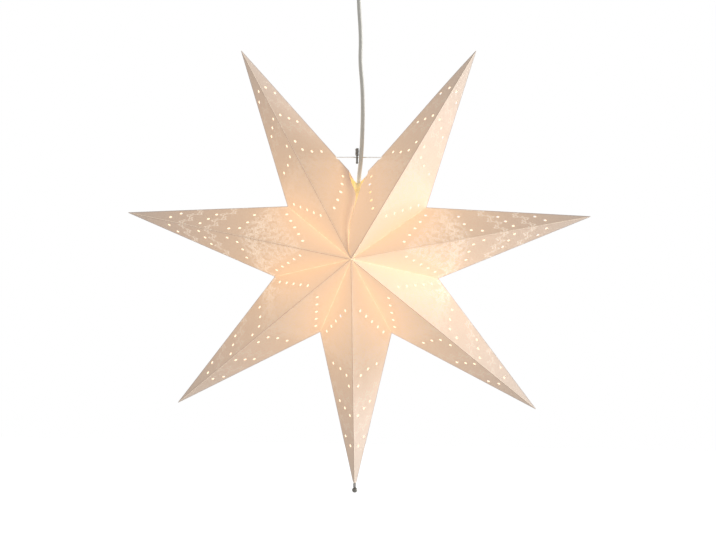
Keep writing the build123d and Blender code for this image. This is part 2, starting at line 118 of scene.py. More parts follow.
def cut_out(piece, tool):
    """Takes the shape of a tool out of a piece, and puts the tool away."""
    finish_with(piece, "BOOLEAN", operation="DIFFERENCE", object=tool, solver="EXACT")
    bpy.data.objects.remove(tool)


def drill(piece, place, diameter, length):
    """Drills a hole along X, with its middle at a place."""
    pick()
    bpy.ops.mesh.primitive_cylinder_add(vertices=24, radius=diameter / 2, depth=length, location=place,
                                        rotation=(0, math.radians(90), 0))
    cut_out(piece, new_piece("drill"))


def settle(piece, angle=30):
    """Leaves a finished piece at the origin with smooth faces and sharp edges."""
    pick(piece)
    bpy.ops.object.transform_apply(location=True, rotation=True, scale=True)
    bpy.ops.object.shade_smooth_by_angle(angle=math.radians(angle))


def install(piece, body, slot, *nodes):
    """Lets a piece ride on a body and stand for parts of the frame; its slot is not used."""
    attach(piece, body)
    if nodes:
        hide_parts(*nodes)
    return piece


# %% [markdown]
# Round parts are turned, as on a lathe. By hand that is a circle whose edge is extruded, moved and scaled
# from ring to ring, and then joined up with itself. Bent wires are curves that are made a mesh at the end.

# %% Helpers for turned and bent parts
pole = 0.01      # smallest ring of a turned part, in mm; the rings at a pole are merged


def turned(name, outline, middle, sides=48):
    """A closed turned shape: outline is a loop of (radius, height) rings in mm round an upright axis."""
    pick()
    radius, height = outline[0]
    bpy.ops.mesh.primitive_circle_add(vertices=sides, radius=radius * mm,
                                      location=middle + Vector((0, 0, height * mm)))
    piece = new_piece(name)
    bpy.ops.object.mode_set(mode="EDIT")
    bpy.ops.mesh.select_mode(type="VERT")
    bpy.ops.mesh.select_all(action="SELECT")
    for next_radius, next_height in outline[1:] + outline[:1]:
        rise = (next_height - height) * mm
        bpy.ops.mesh.extrude_region_move(TRANSFORM_OT_translate={"value": (0, 0, rise)})
        growth = next_radius / radius
        bpy.ops.transform.resize(value=(growth, growth, 1))
        radius, height = next_radius, next_height
    bpy.ops.mesh.select_all(action="SELECT")
    bpy.ops.mesh.remove_doubles(threshold=3 * pole * mm)
    bpy.ops.mesh.delete_loose(use_verts=True, use_edges=True, use_faces=False)
    bpy.ops.mesh.select_all(action="SELECT")
    bpy.ops.mesh.normals_make_consistent(inside=False)
    done()
    return piece


def arc(radius, centre_radius, centre_height, start, end, steps):
    """Rings along a round stretch of an outline, from one angle to another in degrees."""
    angles = [math.radians(start + (end - start) * step / steps) for step in range(steps + 1)]
    return [(max(pole, centre_radius + radius * math.cos(angle)),
             centre_height + radius * math.sin(angle)) for angle in angles]


def bent_wire(name, points, diameter):
    """A wire along smooth bends through points in metres, as a mesh."""
    pick()
    bpy.ops.curve.primitive_nurbs_path_add()
    path = new_piece(name)
    spline = path.data.splines[0]
    spline.points.add(len(points) - len(spline.points))
    for point, place in zip(spline.points, points):
        point.co = (*place, 1)
    spline.order_u = 3
    spline.use_endpoint_u = True
    path.data.resolution_u = 8
    path.data.bevel_depth = diameter / 2
    path.data.bevel_resolution = 4
    path.data.use_fill_caps = True
    bpy.ops.object.convert(target="MESH")
    piece = new_piece(name)
    edit(piece)
    bpy.ops.mesh.remove_doubles(threshold=0.001 * mm)
    bpy.ops.mesh.normals_make_consistent(inside=False)
    done()
    return piece


# %% [markdown]
# ## Where everything is
#
# The star's geometry follows from a few driving sizes: seven points of 350 mm radius, inner corners at
# 126 mm, and 105 mm from the middle plane to the front or the back. The first and the last point stand
# a little apart, because that is where the strip's two ends meet. Everything else is worked out.

# %% Driving sizes
point_count = 7
tip_radius = 350 * mm
valley_radius = 126 * mm
half_depth = 105 * mm
seam_opening = math.radians(9.6)
lowest_point = (point_count + 1) // 2

centre = Vector((0, 0, -486 * mm))
lamp_middle = centre + Vector((2.5 * mm, 0, 3.5 * mm))
pitch = (math.tau - seam_opening) / point_count


def on_mid_plane(radius, steps):
    """A point of the star's middle plane, some pitches clockwise from the right side of the seam."""
    angle = math.radians(90) - seam_opening / 2 - pitch * steps
    return centre + Vector((radius * math.cos(angle), 0, radius * math.sin(angle)))


def tip(point):
    return on_mid_plane(tip_radius, point - 0.5)


def inner_corner(point, side):
    return on_mid_plane(valley_radius, point - 1 if side == "a" else point)


def apex(face):
    return centre + Vector((0, -half_depth if face == "front" else half_depth, 0))


print("lowest tip at height", round(tip(lowest_point).z, 4), "seam corner", inner_corner(1, "a"))

# %% [markdown]
# ## The camera
#
# The star was photographed almost square on, from two metres away, a touch from the right and from
# above. The picture's long side is the sensor's width, so the focal length in pixels gives the lens. A
# small shift puts the star's centre where it is in the picture, without turning the camera.

# %% The camera
def way_from_star(azimuth, elevation):
    """A direction from the star, in degrees: azimuth 0 is in front and 90 on the right."""
    side = math.radians(azimuth)
    rise = math.radians(elevation)
    return Vector((math.sin(side) * math.cos(rise), -math.cos(side) * math.cos(rise), math.sin(rise)))


image_width = 716
image_height = 540
focal_pixels = 1346.6
centre_pixel = (356.42, 255.80)
camera_distance = 2.0
camera_azimuth = 3.9
camera_elevation = 2.65
camera_roll = math.radians(0.43)

camera = put_in_scene("camera", bpy.data.cameras.new("camera"))
bpy.context.scene.camera = camera
camera.data.sensor_width = 36
camera.data.lens = focal_pixels / image_width * camera.data.sensor_width
camera.data.shift_x = (image_width / 2 - centre_pixel[0]) / image_width
camera.data.shift_y = (centre_pixel[1] - image_height / 2) / image_width
away = way_from_star(camera_azimuth, camera_elevation)
camera.location = centre + away * camera_distance
look = (-away).to_track_quat("-Z", "Y").to_matrix()
camera.rotation_euler = (look @ Matrix.Rotation(camera_roll, 3, "Z")).to_euler()
bpy.context.view_layer.update()


def pixel(place):
    """Where a place falls in the picture, in pixels from its upper left corner."""
    seen = camera.matrix_world.inverted() @ place
    across = image_width * (0.5 - camera.data.shift_x) + focal_pixels * seen.x / -seen.z
    down = image_height / 2 + image_width * camera.data.shift_y - focal_pixels * seen.y / -seen.z
    return round(across, 1), round(down, 1)


print("front apex", pixel(apex("front")), "tips", [pixel(tip(n + 1)) for n in range(point_count)])

# %% [markdown]
# ## Finishes as arithmetic
#
# A finish is a small network of nodes. Written out node by node it is long and hard to read, so this
# class wraps one output socket: sums on it add Math nodes, and one method adds any other node.

# %% A socket that takes part in sums


class Wire:
    """An output socket of a finish. Sums on it add Math nodes; node() adds any other node."""

    def __init__(self, tree, socket=None):
        self.tree = tree
        self.socket = socket

    def node(self, kind, settings=None, inputs=None, output=0):
        """Adds a node: its settings first, then the values or the links of its sockets."""
        made = self.tree.nodes.new(kind)
        for name, value in (settings or {}).items():
            if name == "stops":
                lay_stops(made.color_ramp, value)
            else:
                setattr(made, name, value)
        for name, value in (inputs or {}).items():
            if isinstance(value, Wire):
                self.tree.links.new(value.socket, made.inputs[name])
            else:
                made.inputs[name].default_value = value
        return Wire(self.tree, made.outputs[output])

    def math(self, operation, *values):
        return self.node("ShaderNodeMath", {"operation": operation}, dict(enumerate(values)))

    def __add__(self, other):
        return self.math("ADD", self, other)

    def __sub__(self, other):
        return self.math("SUBTRACT", self, other)

    def __mul__(self, other):
        return self.math("MULTIPLY", self, other)

    def __truediv__(self, other):
        return self.math("DIVIDE", self, other)

    def __rsub__(self, other):
        return self.math("SUBTRACT", other, self)

    def __rtruediv__(self, other):
        return self.math("DIVIDE", other, self)

    __radd__ = __add__
    __rmul__ = __mul__

    def ramp(self, low, high, start=0.0, end=1.0):
        """Runs smoothly from start to end while this value runs from low to high."""
        return self.node("ShaderNodeMapRange", {"interpolation_type": "SMOOTHSTEP"},
                         {0: self, 1: low, 2: high, 3: start, 4: end})

    def line(self, middle, half_width, edge):
        """1 where this value is within half_width of middle, fading to 0 over edge."""
        return self.math("ABSOLUTE", self - middle).ramp(half_width, half_width + edge, 1.0, 0.0)

    def either(self, other):
        """The larger of two masks."""
        return self.math("MAXIMUM", self, other)

    def wobble(self, scale, detail=2.0, roughness=0.5):
        """Soft noise from 0 to 1, read at this place."""
        return self.node("ShaderNodeTexNoise", {}, {"Vector": self, "Scale": scale, "Detail": detail,
                                                    "Roughness": roughness})

    def patches(self, noise, low, high, most, colour):
        """This colour, with patches of another where the noise runs from low to high."""
        return self.tint(noise.ramp(low, high, 0.0, most), colour)

    def tint(self, share, colour):
        """This colour, mixed with another by share."""
        return self.node("ShaderNodeMix", {"data_type": "RGBA"}, {0: share, 6: self, 7: colour}, 2)


def lay_stops(ramp, stops):
    """Sets a colour ramp's stops from (place, colour) pairs."""
    while len(ramp.elements) < len(stops):
        ramp.elements.new(1.0)
    for element, (place, colour) in zip(ramp.elements, stops):
        element.position = place
        element.color = colour


class Finish:
    """A material with one Principled shader. Constants are set on its sockets, the rest is linked."""

    def __init__(self, name, **constants):
        self.material = bpy.data.materials.new(name)
        self.material.use_nodes = True
        self.wire = Wire(self.material.node_tree)
        self.shader = self.material.node_tree.nodes["Principled BSDF"]
        for socket, value in constants.items():
            self.shader.inputs[socket.replace("_", " ")].default_value = value

    def place(self):
        """The place on the piece, in metres."""
        return self.wire.node("ShaderNodeTexCoord", output=3)

    def map(self):
        """The piece's own flat map."""
        return self.wire.node("ShaderNodeTexCoord", output=2)

    def colour(self, red, green, blue):
        return self.wire.node("ShaderNodeCombineColor", {}, {0: red, 1: green, 2: blue})

    def link(self, socket, value):
        self.wire.tree.links.new(value.socket, self.shader.inputs[socket])

    def relief(self, height, depth):
        """Bump from a height that runs from 0 to 1, in metres of depth."""
        bump = self.wire.node("ShaderNodeBump", {},
                              {"Strength": 1.0, "Distance": depth, "Height": height})
        self.link("Normal", bump)


def parts_of(vector):
    """The three numbers of a vector."""
    return [vector.node("ShaderNodeSeparateXYZ", {}, {0: vector}, axis) for axis in range(3)]


print("finishes are written as sums from here on")

# %% [markdown]
# ## The cord
#
# The lamp hangs on a round two-core flex of 6 mm. It was stored coiled, so it still bends a little to
# and fro on its way down from the ceiling fitting to the lamp holder. A smooth curve through listed
# points shows exactly that. The points are the route of the frame's own cord.

# %% The cord's curve
cord_diameter = 6 * mm
cord_route = [(0, -72), (0, -106), (4.6, -164), (3.3, -199), (7.0, -234), (8.1, -272), (7.2, -314),
              (5.4, -349), (2.8, -368), (2.5, -386)]

cord_curve = bpy.data.curves.new("flex", "CURVE")
cord_curve.dimensions = "3D"
cord_curve.resolution_u = 12
cord_curve.bevel_depth = 1.0
cord_curve.bevel_resolution = 8
cord_curve.use_fill_caps = True
strand = cord_curve.splines.new("NURBS")
strand.points.add(len(cord_route) - 1)
for point, (x, z) in zip(strand.points, cord_route):
    point.co = (x * mm, 0, z * mm, 1)
    point.radius = cord_diameter / 2
strand.order_u = 3
strand.use_endpoint_u = True
cord = put_in_scene("flex", cord_curve)
install(cord, "lamp", "flex", "flex_cord")
print("cord from", cord_route[0], "to", cord_route[-1], "mm")

# %% [markdown]
# ## One sheet of card
#
# Each point of the star has four flat triangles: two in front and two behind. All of them are the same
# cut, so one is modelled with care and the rest are copies, half of them the other hand. The sheet lies
# flat at first, with the star's apex at the origin, the ridge along X and the inner corner on the side of
# Y. A grid is cut along the three creases, given its thickness and punched.
#
# A grid carries a map of itself from 0 to 1. The cuts keep it, so the finish can draw on the flat sheet
# as a printer would, before it is folded.

# %% The flat sheet's sizes
card = 0.35 * mm
half_pitch = pitch / 2
ridge_length = math.hypot(tip_radius, half_depth)
valley_length = math.hypot(valley_radius, half_depth)
corner_along = (tip_radius * valley_radius * math.cos(half_pitch) + half_depth ** 2) / ridge_length
corner_across = math.sqrt(valley_length ** 2 - corner_along ** 2)
flat_corner = Vector((corner_along, corner_across, 0))
flat_tip = Vector((ridge_length, 0, 0))
spare = 2 * mm
stock_length = ridge_length + 2 * spare
stock_width = corner_across + 2 * spare

rim_length = math.hypot(ridge_length - corner_along, corner_across)
hole_diameter = 4.4 * mm
holes = [(83.5 + 12.2 * step, 17.5 + 12.6 * step) for step in range(5)]
holes += [(178, 52), (180, 33), (185, 17), (200, 11.2)]
holes += [(233 + 7 * step, 36 - 13.2 * step) for step in range(3)]
holes += [(285.6, 22), (296.7, 9.6)]
print("ridge", round(ridge_length, 4), "valley", round(valley_length, 4), "holes", len(holes))


# %% From the flat sheet to its place in the star
def placing(point, face, side):
    """The matrix that stands the flat sheet in its place. For one hand it also mirrors."""
    start = apex(face)
    along = (tip(point) - start).normalized()
    across = inner_corner(point, side) - start
    across = (across - along * along.dot(across)).normalized()
    outward = along.cross(across)
    if outward.dot(start - centre) < 0:
        outward = -outward
    turn = Matrix((along, across, outward)).transposed().to_4x4()
    return Matrix.Translation(start) @ turn


into_flat = placing(2, "front", "a").inverted()
print("tip of point 2 laid flat:", (into_flat @ tip(2)) / mm)

# %% [markdown]
# The cuts lean: two sheets meet in a mitre, so each cut is made along the plane that halves the fold.
# At a ridge and at a valley that plane passes through the star's axis, and at the outer edge it is the
# star's middle plane.

# %% Cut the blank from a grid
def cut_off(piece, place, direction):
    """Cuts off what lies past a place, seen along a direction, and closes the cut."""
    edit(piece)
    bpy.ops.mesh.bisect(plane_co=place, plane_no=direction, use_fill=True, clear_outer=True)
    done()


pick()
bpy.ops.mesh.primitive_grid_add(x_subdivisions=76, y_subdivisions=18, size=1)
blank = new_piece("blank")
edit(blank)
bpy.ops.transform.resize(value=(stock_length, stock_width, 1))
bpy.ops.transform.translate(value=(stock_length / 2 - spare, stock_width / 2 - spare, 0))
done()
for empty_slot in range(2):
    blank.data.materials.append(None)
finish_with(blank, "SOLIDIFY", thickness=card, offset=0, material_offset=1)
print("faces that will be the inside:", sum(face.material_index == 1 for face in blank.data.polygons))

flat_turn = into_flat.to_3x3()
star_axis = (flat_turn @ Vector((0, 1, 0))).normalized()
crease_gap = 0.03 * mm
cuts = [(Vector(), star_axis.cross(Vector((1, 0, 0))), flat_corner),
        (Vector(), star_axis.cross(flat_corner), flat_tip),
        (flat_corner, star_axis, Vector())]
for place, normal, inside in cuts:
    normal = normal.normalized()
    if normal.dot(inside - place) > 0:
        normal = -normal
    cut_off(blank, place - normal * crease_gap, normal)
print("faces after the mitre cuts:", len(blank.data.polygons))

# %% Punch the holes
punch_height = 10 * card
pick()
punches = []
for along, across in holes:
    bpy.ops.mesh.primitive_cylinder_add(vertices=20, radius=hole_diameter / 2, depth=punch_height,
                                        location=(along * mm, across * mm, 0))
    punches.append(new_piece("punch"))
pick(*punches)
bpy.ops.object.join()
cut_out(blank, punches[0])
print("faces after punching:", len(blank.data.polygons))

# %% Trim the corners
apex_trim = 0.7 * mm
tip_trim = 1.2 * mm
low_tip_trim = 11 * mm
cut_off(blank, Vector((apex_trim, 0, 0)), Vector((-1, 0, 0)))
short_blank = put_in_scene("short_blank", blank.data.copy())
cut_off(blank, Vector((ridge_length - tip_trim, 0, 0)), Vector((1, 0, 0)))
cut_off(short_blank, Vector((ridge_length - low_tip_trim, 0, 0)), Vector((1, 0, 0)))
print("points of the whole and of the short blank:", len(blank.data.vertices), len(short_blank.data.vertices))

# %% [markdown]
# ## The card's finish
#
# The card is a matt white board. Seen from outside it has its own colour, the studio's light on it and
# the bulb's warm light that comes through it. The glow is strongest near the lamp and fades to the tips,
# so it depends on the place, not on the sheet.
#
# A lace of scrolls is printed on each point in a paler ink, mirrored at the ridge. It is drawn with
# distances on the flat map: a stem is the line where a distance is nought, a curl is a ring round a
# point, and repeating the measure repeats the curl.

# %% Lines, rings and vines as masks
ink_width = 0.35 * mm
ink_edge = 0.45 * mm
vine_pitch = 17 * mm
vine_swing = 2 * mm
curl_side = 4.4 * mm
curl_radius = 2.5 * mm
leaf_side = 8.2 * mm
leaf_radius = 0.5 * mm
bud_side = 3.2 * mm
bud_step = 5.2 * mm
bud_radius = 0.8 * mm


def ring(x, y, radius):
    """A drawn ring of a radius round the point where x and y are nought."""
    place = x.node("ShaderNodeCombineXYZ", {}, {0: x, 1: y})
    reach = x.node("ShaderNodeVectorMath", {"operation": "LENGTH"}, {0: place}, 1)
    return reach.line(radius, ink_width, ink_edge)


def vine(along, across, start, bend):
    """A wavy stem across the point, with a curl and a leaf on alternate sides of it."""
    beside = along + across * across * bend - start
    turns = across * (math.tau / vine_pitch)
    wave = turns.math("SINE", turns) * vine_swing
    drawn = (beside - wave).line(0.0, ink_width, ink_edge)
    for shift, lean in ((0.25, 1), (0.75, -1)):
        repeat = across - shift * vine_pitch
        step = repeat.math("WRAP", repeat, vine_pitch / 2, -vine_pitch / 2)
        curl = ring(beside - lean * curl_side, step, curl_radius)
        leaf = ring(beside - lean * leaf_side, step, leaf_radius)
        bud = ring(beside - lean * bud_side, step - bud_step, bud_radius)
        drawn = drawn.either(curl).either(leaf).either(bud)
    return drawn


def web(flat_place, along, across):
    """A net of curls between the first two rows of holes."""
    warp = flat_place.node("ShaderNodeTexNoise", {}, {"Vector": flat_place, "Scale": 120.0}, 1)
    drift = flat_place.node("ShaderNodeVectorMath", {"operation": "MULTIPLY_ADD"},
                            {0: warp, 1: (0.006, 0.006, 0), 2: flat_place})
    curls = drift.node("ShaderNodeTexVoronoi", {"voronoi_dimensions": "2D"},
                       {"Vector": drift, "Scale": 125.0, "Randomness": 0.75})
    net = drift.node("ShaderNodeTexVoronoi", {"voronoi_dimensions": "2D", "feature": "DISTANCE_TO_EDGE"},
                     {"Vector": drift, "Scale": 72.0, "Randomness": 0.9})
    drawn = curls.line(0.32, 0.03, 0.04).either(net.ramp(0.010, 0.032, 1.0, 0.0))
    drawn = drawn.either(curls.ramp(0.06, 0.12, 1.0, 0.0))
    first_row = (along - across * 0.968).ramp(74 * mm, 82 * mm)
    second_row = (along + across * 0.15).ramp(176 * mm, 184 * mm, 1.0, 0.0)
    return drawn * first_row * second_row


print("a vine repeats every", round(vine_pitch / mm), "mm")

# %% The card's outside
glow_reach = 370 * mm
glow_strength = 1.0
glow_strength_at_seam = 0.88     # the sheets at the open seam glow a little less
glow_stops = [(0.0, (0.72, 0.41, 0.195, 1)), (0.30, (0.57, 0.325, 0.160, 1)),
              (0.45, (0.40, 0.235, 0.120, 1)), (0.70, (0.295, 0.175, 0.098, 1)),
              (1.0, (0.18, 0.125, 0.086, 1))]


def card_outside(name, at_seam=False, rolled=False):
    """The outside of a sheet. A sheet at the seam has a cut edge there, and one of them rolls in, with
    painted shade towards its edge.
    """
    strength = glow_strength_at_seam if at_seam and not rolled else glow_strength
    made = Finish(name, Roughness=0.85, Emission_Strength=strength, Specular_IOR_Level=0.2)
    place = made.place()
    flat_x, flat_y, _ = parts_of(made.map())
    along = flat_x * stock_length - spare
    across = flat_y * stock_width - spare
    flat_place = along.node("ShaderNodeCombineXYZ", {}, {0: along, 1: across})

    fibre = flat_place.wobble(900.0, 3.0, 0.6)
    cloud = flat_place.wobble(60.0, 3.0, 0.6)
    linen = flat_place.wobble(330.0, 4.0, 0.7)
    from_valley = (across * corner_along - along * corner_across) * (-1 / valley_length)
    to_rim = (corner_across - across) * (ridge_length - corner_along)
    to_rim = (to_rim - (along - corner_along) * corner_across) * (1 / rim_length)

    lace = vine(along, across, 228 * mm, 6.0).either(vine(along, across, 271 * mm, 9.0))
    lace = lace.either(vine(along, across, 160 * mm, 2.0)).either(web(flat_place, along, across))
    # The lace is print, drawn stronger on the points to the sides than on the upper and lower ones: a painted
    # sheen on its ink.
    place_x, _, place_z = parts_of(place)
    height = place_z - centre.z
    height = height.math("ABSOLUTE", height)
    sideways = place_x.math("ABSOLUTE", place_x) / (height + 40 * mm)
    lace = lace * sideways.ramp(0.9, 1.5, 0.3, 1.0) * across.ramp(0.0, 1.5 * mm)

    lamp_distance = place.node("ShaderNodeVectorMath", {"operation": "DISTANCE"},
                               {0: place, 1: lamp_middle}, 1)
    glow = place.node("ShaderNodeValToRGB", {"stops": glow_stops}, {0: lamp_distance / glow_reach})

    paper = made.colour(0.80, 0.735, 0.67)
    paper = paper.patches(cloud, 0.3, 0.7, 0.15, (0.70, 0.62, 0.56, 1))
    paper = paper.patches(linen, 0.45, 0.70, 0.30, (0.90, 0.85, 0.78, 1))
    paper = paper.patches(linen, 0.50, 0.30, 0.25, (0.66, 0.60, 0.55, 1))
    paper = paper.tint(lace * 0.8, (0.95, 0.90, 0.82, 1))
    light = glow.patches(linen, 0.50, 0.30, 0.10, (0.16, 0.09, 0.05, 1))
    light = light.tint(lace * 0.36, (0.90, 0.76, 0.60, 1))

    # A painted highlight: a thin light line on the ridge's crest, stronger away from the lamp.
    crest_highlight = across.line(0.0, 0.3 * mm, 0.8 * mm) * lamp_distance.ramp(140 * mm, 260 * mm, 0.05, 0.22)
    # Painted shade: the glow darkens in a band on both sides of the ridge, and colour and glow darken more
    # along the ridge on faces turned to the left.
    turned_left = parts_of(made.wire.node("ShaderNodeTexCoord", output=1))[0].ramp(-0.05, -0.25)
    flank_shade = across.line(0.0, 0.8 * mm, 3.0 * mm) * 0.12
    shade = across.line(0.0, 1.0 * mm, 0.9 * mm) * turned_left * 0.38
    edge = to_rim.line(0.0, 0.8 * mm, 1.2 * mm)
    paper = paper.tint(edge * 0.35, (0.45, 0.42, 0.41, 1)).tint(shade, (0.40, 0.34, 0.30, 1))
    light = light.tint(flank_shade, (0.10, 0.06, 0.05, 1)).tint(crest_highlight, (0.9, 0.72, 0.5, 1))
    light = light.tint(shade, (0.06, 0.045, 0.04, 1)).tint(edge * 0.65, (0.10, 0.085, 0.09, 1))
    # Painted shade: the glow of the rolled-in sheet darkens towards its free edge, where its neighbour covers
    # it.
    if rolled:
        light = light.tint(from_valley.ramp(0.0, 18 * mm, 0.75, 0.0), (0.10, 0.03, 0.015, 1))
    # Painted light: a thin patchy line of glow along each valley, except on the sheets at the seam.
    if not at_seam:
        patch = flat_place.wobble(40.0, 2.0)
        light = light.tint(from_valley.line(0.0, 0.3 * mm, 1.2 * mm) * patch.ramp(0.3, 0.7, 0.05, 0.3),
                           (0.95, 0.75, 0.42, 1))
    made.link("Base Color", paper)
    made.link("Emission Color", light)
    made.link("Roughness", fibre.ramp(0.2, 0.8, 0.78, 0.92))
    made.relief(fibre * 0.4 + linen * 0.4 + lace * 0.2, 0.06 * mm)
    return made.material


outside = card_outside("card_outside")
outside_at_seam = card_outside("card_at_seam", at_seam=True)
outside_rolled_shaded = card_outside("card_rolled_shaded", at_seam=True, rolled=True)

# %% [markdown]
# The inside is what shows through the holes and the open end of the seam. It faces the bulb from close
# by, so it is much brighter than white, and yellower where it is in the bulb's full light.

# %% The card's inside
lit_inside = Finish("card_inside", Roughness=0.9, Emission_Strength=1.25)
inside_place = lit_inside.place()
inside_cloud = inside_place.wobble(80.0, 3.0, 0.6)
inside_paper = lit_inside.colour(0.40, 0.36, 0.28)
lit_inside.link("Base Color", inside_paper.patches(inside_cloud, 0.3, 0.7, 0.3, (0.34, 0.30, 0.22, 1)))
inside_light = lit_inside.colour(0.80, 0.65, 0.52)
inside_light = inside_light.patches(inside_cloud, 0.3, 0.7, 0.3, (0.76, 0.59, 0.45, 1))
inside_x, _, inside_z = parts_of(inside_place)
open_end = inside_z.ramp(centre.z - 10 * mm, centre.z + 10 * mm)
open_end = open_end * inside_x.line(0.0, 14 * mm, 12 * mm)
lit_inside.link("Emission Color", inside_light.tint(open_end, (0.50, 0.30, 0.05, 1)))
print("card finishes:", [material.name for material in (outside, outside_at_seam, outside_rolled_shaded)])

for piece in (blank, short_blank):
    piece.data.materials[0] = outside
    piece.data.materials[1] = lit_inside.material

# %% [markdown]
# ## Fold the star
#
# Every sheet is a copy of the blank with a faint bow of its own, at most 0.3 mm to one side,
# because card never stays flat. The bow has to end exactly at the creases. No brush does that, so it is
# a formula on the points of the mesh: the product of the distances to the three creases.

# %% A bow that ends at the creases
flat_area = ridge_length * corner_across


def bow(piece, height):
    """Lifts a flat sheet by height at its middle and by nothing at its three creases."""
    for vertex in piece.data.vertices:
        x, y, _ = vertex.co
        to_ridge = max(0.0, y / corner_across)
        to_valley = max(0.0, (x * corner_across - y * corner_along) / flat_area)
        to_rim = max(0.0, 1 - to_ridge - to_valley)
        vertex.co.z += height * 27 * to_ridge * to_valley * to_rim


draws = random.Random(7)
most_bow = 0.3 * mm


def fold_sheet(point, face, side):
    """Copies the blank into one place of the star."""
    name = f"sheet_{point}_{face}_{side}"
    source = short_blank if point == lowest_point else blank
    piece = put_in_scene(name, source.data.copy())
    piece.data.name = name
    bow(piece, draws.uniform(-most_bow, most_bow))
    matrix = placing(point, face, side)
    piece.data.transform(matrix)
    if matrix.determinant() < 0:
        piece.data.flip_normals()
    return piece


sheets = {}
for face in ("front", "back"):
    for point in range(1, point_count + 1):
        for side in ("a", "b"):
            sheets[point, face, side] = fold_sheet(point, face, side)
for piece in (blank, short_blank):
    bpy.data.objects.remove(piece)
print("sheets:", len(sheets))

# %% [markdown]
# ## Where the strip's ends meet
#
# The first and the last sheet aren't glued. In front, their edges lie against each other from the apex up
# to about two thirds of the way, then curl apart to let the cord in. The right one has a straight edge,
# and the left one rolls inwards behind it, with a thin line of light between. Behind, the edges meet at
# the middle and part only where the cord comes in. A smooth pull on the points near an edge makes this
# shape, strongest at the edge and nothing at the ridge.
#
# Where the hanger wire goes through the outer crease, a small hole is cut in both sheets first.

# %% Holes for the hanger wire
hanger_height = 146 * mm
wire_diameter = 1.6 * mm
notch_diameter = 4.8 * mm
wire_seat_gap = 0.4 * mm


def crease_at_wire(sign):
    """Where the wire meets the outer crease, on the right (1) or on the left (-1) of the seam."""
    low = inner_corner(1, "a") - centre
    high = tip(1) - centre
    share = (hanger_height - low.z) / (high.z - low.z)
    return centre + Vector((sign * (low.x + share * (high.x - low.x)), 0, hanger_height))


wire_drop = Vector((0, 0, (notch_diameter - wire_diameter) / 2 - wire_seat_gap))
for sign, point, side in ((1, 1, "a"), (-1, point_count, "b")):
    for face in ("front", "back"):
        drill(sheets[point, face, side], crease_at_wire(sign) - wire_drop, notch_diameter,
              8 * wire_diameter)
print("wire goes through the creases at", crease_at_wire(-1).x, crease_at_wire(1).x)


# %% Bend the seam's sheets
def smooth(value, low, high):
    """0 up to low, 1 from high, and a smooth step between them."""
    share = min(1.0, max(0.0, (value - low) / (high - low)))
    return share * share * (3 - 2 * share)


seam_corner = inner_corner(1, "a") - centre
slit = 1.0 * mm


def straight_edge(share):
    """Sideways place of the front sheet's free edge, from the apex (0) to the corner (1)."""
    return (15.8 * smooth(share, 0.3, 1.05) - 5.3 * smooth(share, 0.0, 0.10)) * mm


def rolled_edge(share):
    """The same of the other sheet, which follows the first and then curls away to its own corner."""
    beside = straight_edge(share) - slit * smooth(share, 0.05, 0.3)
    away = smooth(share, 0.60, 0.93)
    return beside * (1 - away) - seam_corner.x * share * away


def back_edge(share):
    """The back's edges meet at the middle, and part only where the cord comes in."""
    away = smooth(share, 0.85, 0.94)
    return slit / 2 * (1 - away) + seam_corner.x * share * away


def left_back_edge(share):
    return -back_edge(share)


def flare(sign, share):
    """How far the free edge and the rim above it stand further apart than the flat cut."""
    return sign * corner_flare[sign] * smooth(share, 0.82, 0.98) * (1 - smooth(share, 1.0, 2.3))


def bend_seam(piece, sign, edge, reach, roll):
    """Pulls the free edge of a sheet, which lies on the side of sign, to edge, and rolls it inwards."""
    for vertex in piece.data.vertices:
        share = max(0.0, (vertex.co.z - centre.z) / seam_corner.z)
        below = min(share, 1.0)
        free_edge = seam_corner.x * below + rim_run * (share - below)
        distance = max(0.0, sign * vertex.co.x - free_edge)
        to_ridge = max(1 * mm, ridge_slope * seam_corner.z * share - free_edge)
        pull = max(0.0, 1 - distance / min(reach, to_ridge)) ** 2
        sideways = (edge(below) - sign * seam_corner.x * below) * (1 - smooth(share, 1.0, 1.25))
        vertex.co.x += (sideways + flare(sign, share)) * pull
        near = max(0.0, 1 - distance / min(roll_reach, to_ridge)) ** 2
        inwards = roll * near * smooth(share, 0.05, 0.35) * (1 - smooth(share, 0.80, 1.0))
        vertex.co.y += inwards if vertex.co.y < 0 else -inwards


ridge_slope = (tip(1) - centre).x / (tip(1) - centre).z
rim_run = (tip(1).x - seam_corner.x) / ((tip(1) - centre).z / seam_corner.z - 1)
corner_flare = {1: 6 * mm, -1: 1.2 * mm}
roll_reach = 17 * mm
roll_depth = 7 * mm
straight_reach = 55 * mm
rolled_reach = 65 * mm
seam_sheets = [(sheets[1, "front", "a"], 1, straight_edge, straight_reach, 0.0, outside_at_seam),
               (sheets[point_count, "front", "b"], -1, rolled_edge, rolled_reach, roll_depth, outside_rolled_shaded),
               (sheets[1, "back", "a"], 1, back_edge, straight_reach, 0.0, outside_at_seam),
               (sheets[point_count, "back", "b"], -1, left_back_edge, straight_reach, 0.0, outside_at_seam)]
for sheet, sign, edge, reach, roll, finish in seam_sheets:
    bend_seam(sheet, sign, edge, reach, roll)
    sheet.data.materials[0] = finish

for (point, face, side), piece in sheets.items():
    settle(piece, 25)
    install(piece, f"card_{point}_{face}_{side}", "card", f"point_{point}_{face}_{side}")
print("points of one sheet:", len(sheets[1, "front", "a"].data.vertices))

# %% [markdown]
# ## Finishes of the small parts
#
# Plastic, metal and glazed parts differ in colour, gloss and grain, but each has faint clouds in its
# colour, a fine grain that changes the gloss, and a shallow relief. So one function makes them all.


